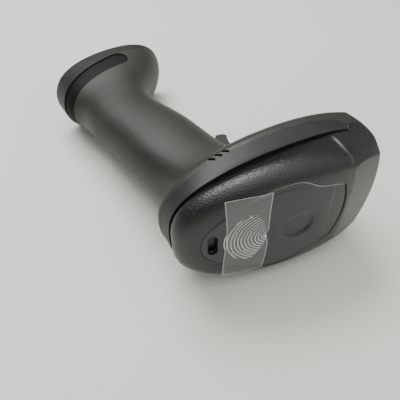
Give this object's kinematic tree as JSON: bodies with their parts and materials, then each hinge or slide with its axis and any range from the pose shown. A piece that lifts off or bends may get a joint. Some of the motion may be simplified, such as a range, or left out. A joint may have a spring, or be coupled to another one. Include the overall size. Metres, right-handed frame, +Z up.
{
  "type": "handheld barcode scanner",
  "caption": "Cordless pistol-grip barcode scanner lying on its side, with a trigger, a crowned head with a wrap-round bumper, a banded foot and a battery behind a foot cap.",
  "frame": {"origin": "centre of the underside of the bounding box, on the surface the scanner lies on", "axes": "+X along the scan direction, out of the window; +Y from the head along the handle to the foot; +Z up, towards the scanner's left side"},
  "size_m": [0.1304, 0.175, 0.0736],
  "materials": {
    "housing_dark": "satin, finely grained",
    "handle_satin": "satin, finely grained",
    "panel_dark": "satin, slightly smoother than the shell",
    "soft_rubber": "matt, soft to the touch",
    "lens_smoke": "smoked translucent, ridged",
    "film_clear": "thin clear film",
    "mesh_dark": "woven mesh",
    "black_plastic": "moulded, matt",
    "window_glass": "deep tinted, glossy",
    "contact_gold": "plated",
    "battery_wrap": "shrink-wrapped",
    "wire_skin": "insulated lead",
    "trigger_plastic": "satin",
    "steel_pin": "plain steel",
    "circuit_board": "solder mask",
    "plunger_plastic": "moulded",
    "flex_amber": "polyimide film",
    "chip_black": "epoxy",
    "shield_tin": "tinned can",
    "led_white": "clear epoxy",
    "chassis_steel": "zinc-plated sheet",
    "engine_black": "moulded, matt",
    "lens_glass": "coated"
  },
  "bodies": {
    "housing": {"top_shell": "housing_dark", "head_bumper": "soft_rubber", "foot_bumper": "soft_rubber", "top_panel": "panel_dark", "indicator_lens": "lens_smoke", "protective_film": "film_clear", "sound_mesh": "mesh_dark", "handle_left": "handle_satin", "handle_right": "handle_satin", "window_bezel": "black_plastic", "scan_window": "window_glass", "battery_contacts": "black_plastic", "battery_cable": "wire_skin", "trigger_pin": "steel_pin", "trigger_board": "circuit_board", "trigger_switch": "black_plastic", "trigger_cable": "flex_amber", "main_board": "circuit_board", "board_screws": "steel_pin", "processor_chip": "chip_black", "memory_chip": "chip_black", "radio_module": "shield_tin", "beeper": "black_plastic", "indicator_board": "circuit_board", "indicator_leds": "led_white", "engine_chassis": "chassis_steel", "chassis_screws": "steel_pin", "scan_engine": "engine_black", "engine_lens": "lens_glass", "illumination_leds": "led_white", "engine_cable": "flex_amber", "housing_screws": "steel_pin"},
    "trigger": {"trigger": "trigger_plastic", "trigger_spring": "steel_pin"},
    "plunger": {"switch_plunger": "plunger_plastic"},
    "cap": {"battery_cap": "handle_satin", "cap_seal": "soft_rubber", "charge_contacts": "contact_gold"},
    "latch": {"cap_latch": "black_plastic"},
    "battery": {"battery": "battery_wrap"}
  },
  "joints": [
    {"name": "trigger_pull", "type": "hinge", "parent": "housing", "child": "trigger", "pos_m": [0.00235, -0.04132, 0.03529], "axis": [0, 0.1103, 0.9939], "range_deg": [0, 7], "stiffness_Nm_per_rad": 0.15, "springref_deg": -8.59},
    {"name": "plunger_press", "type": "slide", "parent": "housing", "child": "plunger", "axis": [-1, 0, 0], "range_m": [0, 0.00101]},
    {"name": "cap_pull", "type": "slide", "parent": "housing", "child": "cap", "axis": [-0.2538, 0.9614, -0.1067], "range_m": [0, 0.1]},
    {"name": "battery_draw", "type": "slide", "parent": "housing", "child": "battery", "axis": [-0.2538, 0.9614, -0.1067], "range_m": [0, 0.076]},
    {"name": "latch_turn", "type": "hinge", "parent": "cap", "child": "latch", "pos_m": [-0.04307, 0.07735, 0.02211], "axis": [-0.1874, 0.9763, -0.1084], "range_deg": [0, 90]}
  ],
  "couplings": [
    {"joint": "plunger_press", "follows": "trigger_pull", "m_per_rad": 0.008021},
    {"joint": "battery_draw", "follows": "cap_pull", "ratio": 0.75}
  ]
}
